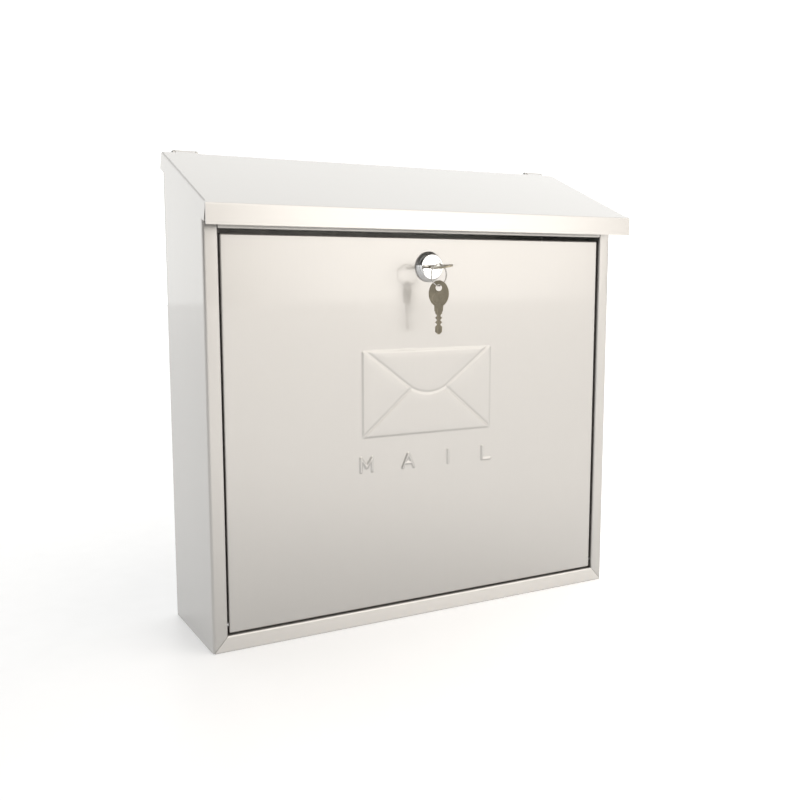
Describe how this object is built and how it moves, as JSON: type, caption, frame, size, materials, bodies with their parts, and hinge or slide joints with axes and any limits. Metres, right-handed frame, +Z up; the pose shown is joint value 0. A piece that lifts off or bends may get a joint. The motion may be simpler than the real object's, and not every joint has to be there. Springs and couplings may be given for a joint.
{
  "type": "wall mounted mailbox",
  "caption": "Stainless-steel wall mailbox with a sloping lift-up lid, a bottom-hinged door with an embossed envelope, a cam lock and two keys on a ring.",
  "frame": {"origin": "middle of the back panel's rear face, 186.5 mm above the underside of the case", "axes": "+Z up, +Y into the wall, -Y towards the person who opens the door, +X to that person's right"},
  "size_m": [0.3734, 0.1257, 0.3736],
  "materials": {
    "brushed_steel": "fine satin brushing",
    "plain_steel": "plain mill finish",
    "zinc_plated_steel": "dull zinc plating",
    "chrome": "polished",
    "nickel_plated_brass": "dull nickel plating, stamped",
    "spring_steel": "bright drawn wire"
  },
  "bodies": {
    "case": {"back_panel": "brushed_steel", "bottom_panel": "brushed_steel", "top_rail": "brushed_steel", "left_side_panel": "brushed_steel", "right_side_panel": "brushed_steel", "left_hinge_bracket": "plain_steel", "right_hinge_bracket": "plain_steel", "left_hinge_pin": "zinc_plated_steel", "right_hinge_pin": "zinc_plated_steel"},
    "lid": {"lid": "brushed_steel"},
    "door": {"door": "brushed_steel", "left_door_pin": "zinc_plated_steel", "right_door_pin": "zinc_plated_steel", "lock_body": "chrome", "lock_washer": "zinc_plated_steel", "lock_nut": "zinc_plated_steel"},
    "lock_core": {"lock_plug": "chrome", "lock_cam": "zinc_plated_steel", "cam_screw": "zinc_plated_steel"},
    "key": {"door_key": "nickel_plated_brass"},
    "ring": {"key_ring": "spring_steel"},
    "spare": {"spare_key": "nickel_plated_brass"}
  },
  "joints": [
    {"name": "lid_hinge", "type": "hinge", "parent": "case", "child": "lid", "pos_m": [0, -0.00395, 0.18451], "axis": [-1, 0, 0], "range_deg": [0, 100]},
    {"name": "door_hinge", "type": "hinge", "parent": "case", "child": "door", "pos_m": [0, -0.0923, -0.1667], "axis": [1, 0, 0], "range_deg": [0, 85]},
    {"name": "lock_turn", "type": "hinge", "parent": "door", "child": "lock_core", "pos_m": [0, -0.0953, 0.0972], "axis": [0, -1, 0], "range_deg": [-10, 80]},
    {"name": "key_slide", "type": "slide", "parent": "lock_core", "child": "key", "axis": [0, -1, 0], "range_m": [0, 0.028]},
    {"name": "ring_hang", "type": "hinge", "parent": "key", "child": "ring", "pos_m": [-0.00422, -0.1202, 0.09516], "axis": [0, -1, 0], "range_deg": [-80, 10]},
    {"name": "spare_swing", "type": "hinge", "parent": "ring", "child": "spare", "pos_m": [-0.0056, -0.1202, 0.0826], "axis": [0.9677, 0.2521, 0], "range_deg": [-15, 15]}
  ],
  "couplings": [
    {"joint": "ring_hang", "follows": "lock_turn", "ratio": -1}
  ]
}
